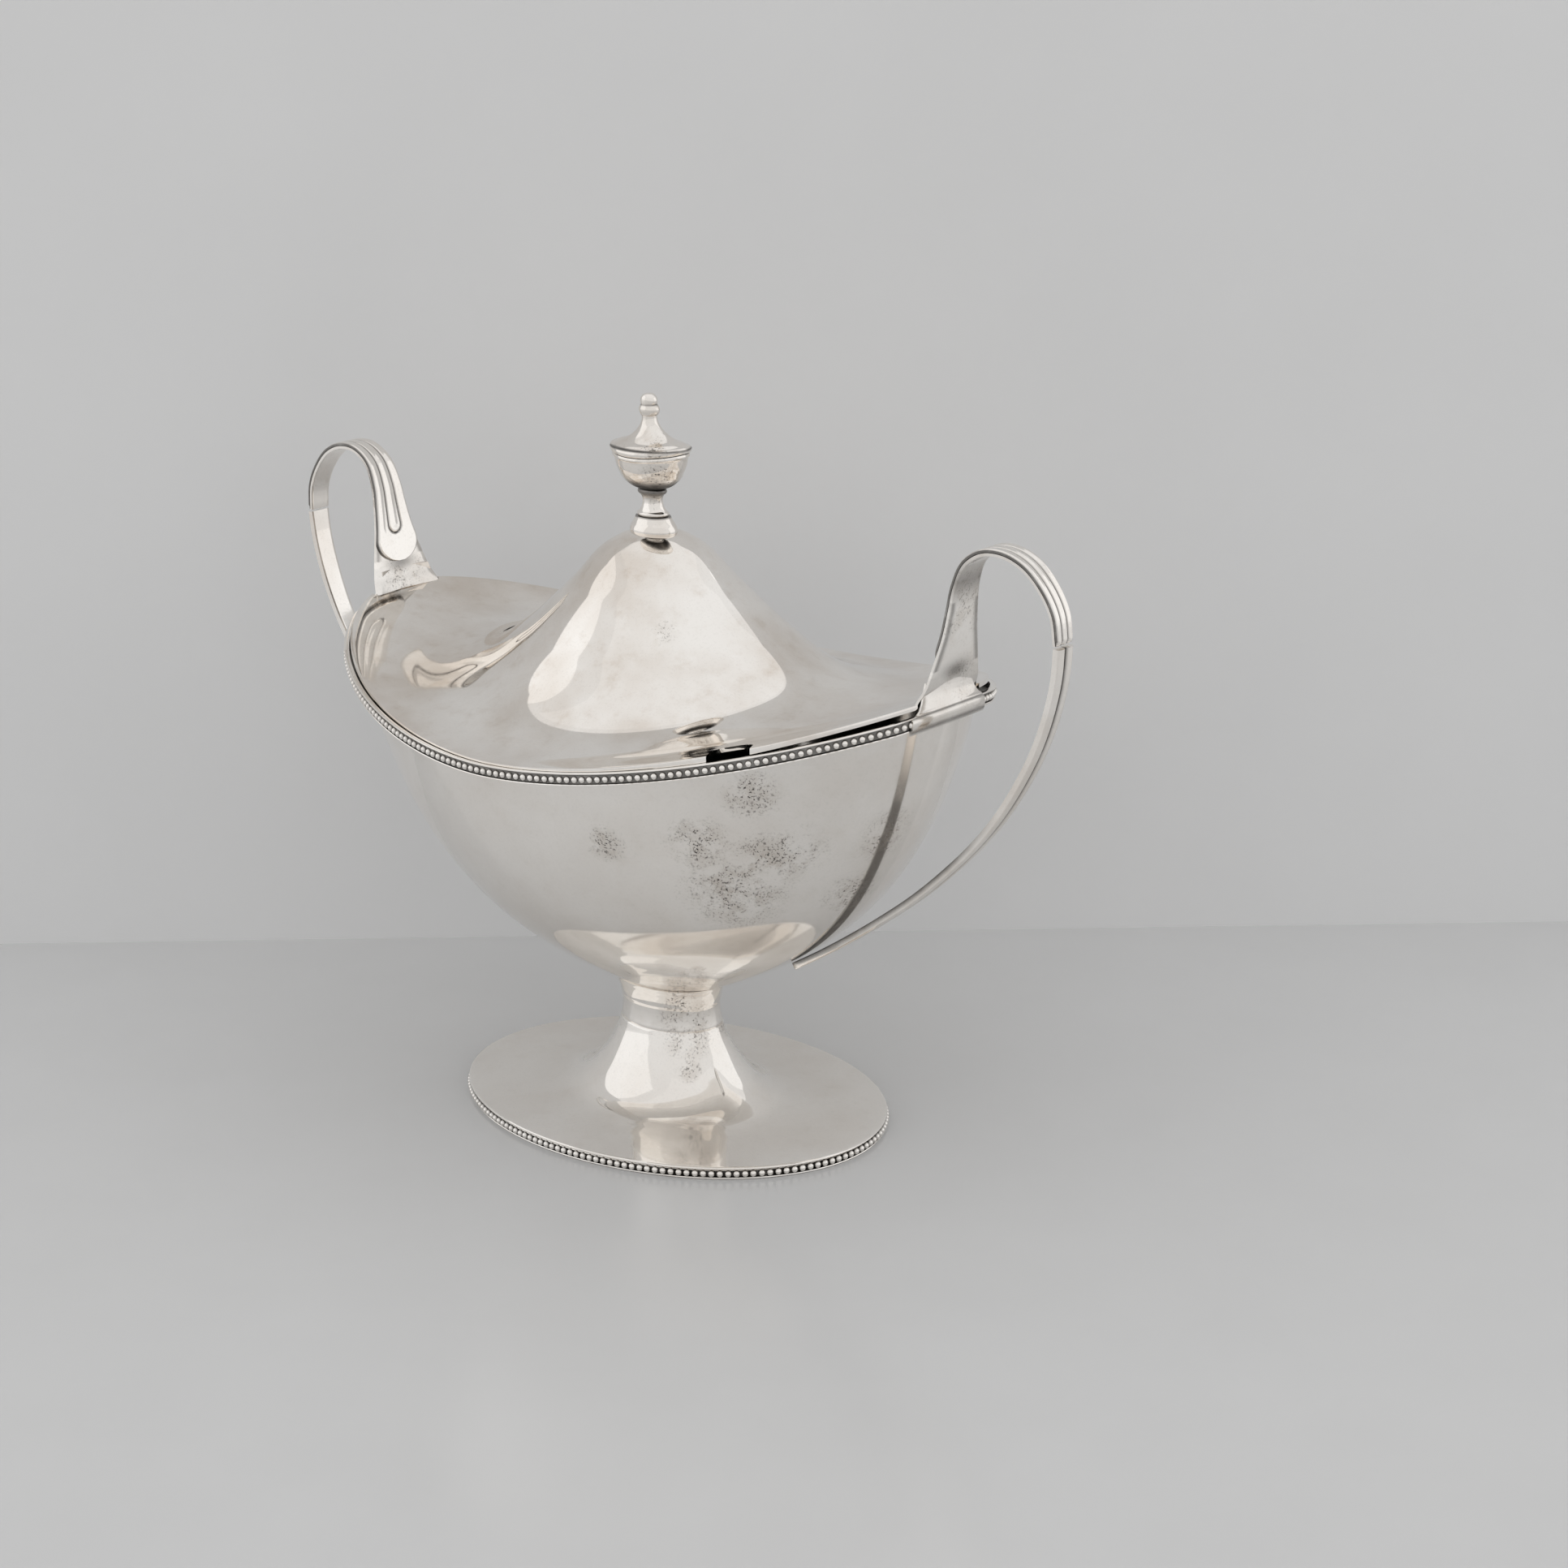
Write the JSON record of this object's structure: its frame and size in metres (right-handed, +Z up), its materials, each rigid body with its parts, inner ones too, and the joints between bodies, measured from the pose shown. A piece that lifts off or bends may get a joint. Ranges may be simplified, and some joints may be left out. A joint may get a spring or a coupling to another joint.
{
  "type": "lidded sugar bowl",
  "caption": "Boat-shaped silver sugar bowl on an oval trumpet foot, with strap loop handles, beaded edges and a lift-off lid with a spoon notch and an urn finial.",
  "frame": {"origin": "on the floor under the centre of the foot", "axes": "+X along the line through both handles, towards the handle nearer the spoon notch; -Y is the side that has the spoon notch; +Z up"},
  "size_m": [0.2158, 0.1114, 0.1601],
  "materials": {
    "silver_bowl": "hand-polished silver with soft grey tarnish specks",
    "silver_lid": "hand-polished silver, bright",
    "silver_foot": "hand-polished silver",
    "silver_stem": "hand-polished silver, tarnish in the waist",
    "silver_foot_beads": "bright beads in a blackened recess",
    "silver_rim_beads": "bright beads in a blackened recess",
    "silver_foot_wire": "worn bright wire",
    "silver_rim_wires": "worn bright wire",
    "silver_straps": "polished strap, grey on its inner face",
    "silver_reeds": "polished reeds with dark grooves",
    "silver_finial": "cast and polished silver, dark in the hollows",
    "silver_fixings": "dull unpolished silver"
  },
  "bodies": {
    "vessel": {"foot_shell": "silver_foot", "foot_bead_band": "silver_foot_beads", "foot_base_wire": "silver_foot_wire", "stem_collar": "silver_stem", "bowl_body": "silver_bowl", "rim_bead_band": "silver_rim_beads", "rim_top_wire": "silver_rim_wires", "rim_lower_wire": "silver_rim_wires", "handle_upper_strap_right": "silver_straps", "handle_reeded_strip_right": "silver_reeds", "handle_lower_strap_right": "silver_straps", "handle_upper_strap_left": "silver_straps", "handle_reeded_strip_left": "silver_reeds", "handle_lower_strap_left": "silver_straps"},
    "lid": {"lid_shell": "silver_lid", "finial_base": "silver_finial", "finial_pedestal": "silver_finial", "finial_cup": "silver_finial", "finial_cover": "silver_finial", "finial_knob": "silver_finial", "finial_stud": "silver_fixings", "finial_washer": "silver_fixings", "finial_nut": "silver_fixings"}
  },
  "joints": [
    {"name": "lid_lift", "type": "slide", "parent": "vessel", "child": "lid", "axis": [0, 0, 1], "range_m": [0, 0.12]}
  ]
}
